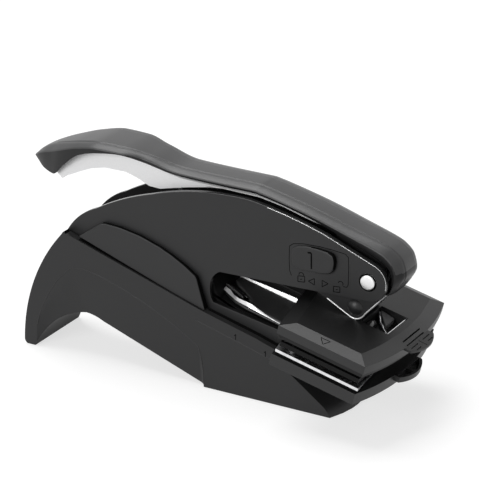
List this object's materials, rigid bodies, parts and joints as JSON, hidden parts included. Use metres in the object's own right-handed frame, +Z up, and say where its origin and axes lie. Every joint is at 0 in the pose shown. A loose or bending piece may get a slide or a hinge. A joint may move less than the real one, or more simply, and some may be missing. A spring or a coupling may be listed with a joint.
{
  "type": "seal embosser",
  "caption": "Hand-held lever press that embosses a seal: domed frame on a moulded base, ergonomic handle with lock, and a bevelled two-jaw die clip that slides into the throat.",
  "frame": {"origin": "on the table under the middle of the overall box", "axes": "+X from the handle's tail to the die clip's tab, +Y to the machine's right seen from the clip's end, +Z up"},
  "size_m": [0.1556, 0.06, 0.0807],
  "materials": {
    "black_plastic": "satin",
    "handle_plastic": "satin",
    "black_plate": "satin black paint",
    "black_jaw": "satin black paint",
    "plated_steel": "nickel plated",
    "bright_steel": "bright",
    "dark_steel": "blackened",
    "spring_steel": "bright wire",
    "die_brass": "machined",
    "die_resin": "smooth",
    "grey_rubber": "matt",
    "pad_grey": "matt"
  },
  "bodies": {
    "frame": {"base_housing": "black_plastic", "left_frame_plate": "black_plate", "right_frame_plate": "black_plate", "frame_core": "black_plastic", "frame_rivets": "dark_steel", "left_side_panel": "black_plastic", "right_side_panel": "black_plastic", "anvil_plate": "dark_steel", "rubber_feet": "grey_rubber", "base_screws": "bright_steel", "pivot_pin": "plated_steel", "arm_pivot_pin": "bright_steel", "lock_plate": "black_plastic", "return_spring": "spring_steel"},
    "lever": {"lever_arm": "plated_steel", "handle_cover": "handle_plastic", "cover_screws": "bright_steel", "pivot_bushing": "bright_steel", "press_cam": "dark_steel"},
    "press_arm": {"press_arm": "dark_steel", "press_pin": "dark_steel", "roller_spacers": "dark_steel"},
    "roller": {"press_roller": "bright_steel"},
    "lock": {"lock_slider": "black_plastic", "slider_retainer": "dark_steel"},
    "clip": {"lower_jaw": "black_jaw", "lower_pad": "dark_steel", "lower_die_plate": "bright_steel", "counter_die": "die_resin", "guide_pins": "bright_steel", "clip_tongue": "bright_steel", "tongue_strip": "pad_grey", "jaw_springs": "spring_steel"},
    "jaw": {"upper_jaw": "black_jaw", "upper_backing_plate": "dark_steel", "upper_die_plate": "dark_steel", "male_die": "die_brass", "window_roller": "dark_steel", "window_wedge": "bright_steel", "window_strip": "bright_steel"}
  },
  "joints": [
    {"name": "lever_hinge", "type": "hinge", "parent": "frame", "child": "lever", "pos_m": [0.0596, 0, 0.051], "axis": [0, -1, 0], "range_deg": [0, 7], "stiffness_Nm_per_rad": 0.6, "springref_deg": -14.32, "deforming": ["return_spring"]},
    {"name": "press_arm_hinge", "type": "hinge", "parent": "frame", "child": "press_arm", "pos_m": [0.006, 0, 0.05], "axis": [0, 1, 0], "range_deg": [0, 1.5]},
    {"name": "press_roller_spin", "type": "hinge", "parent": "press_arm", "child": "roller", "pos_m": [0.05375, 0, 0.03974], "axis": [0, 1, 0], "continuous": true},
    {"name": "lock_slide", "type": "slide", "parent": "frame", "child": "lock", "axis": [1, 0, 0], "range_m": [0, 0.0036]},
    {"name": "clip_slide", "type": "slide", "parent": "frame", "child": "clip", "axis": [0.9724, 0, -0.2334], "range_m": [0, 0.03]},
    {"name": "jaw_slide", "type": "slide", "parent": "clip", "child": "jaw", "axis": [-0.2334, 0, -0.9724], "range_m": [0, 0.0013], "deforming": ["jaw_springs"]}
  ],
  "couplings": [
    {"joint": "press_arm_hinge", "follows": "lever_hinge", "ratio": 0.2013},
    {"joint": "jaw_slide", "follows": "lever_hinge", "m_per_rad": 0.0098221}
  ]
}
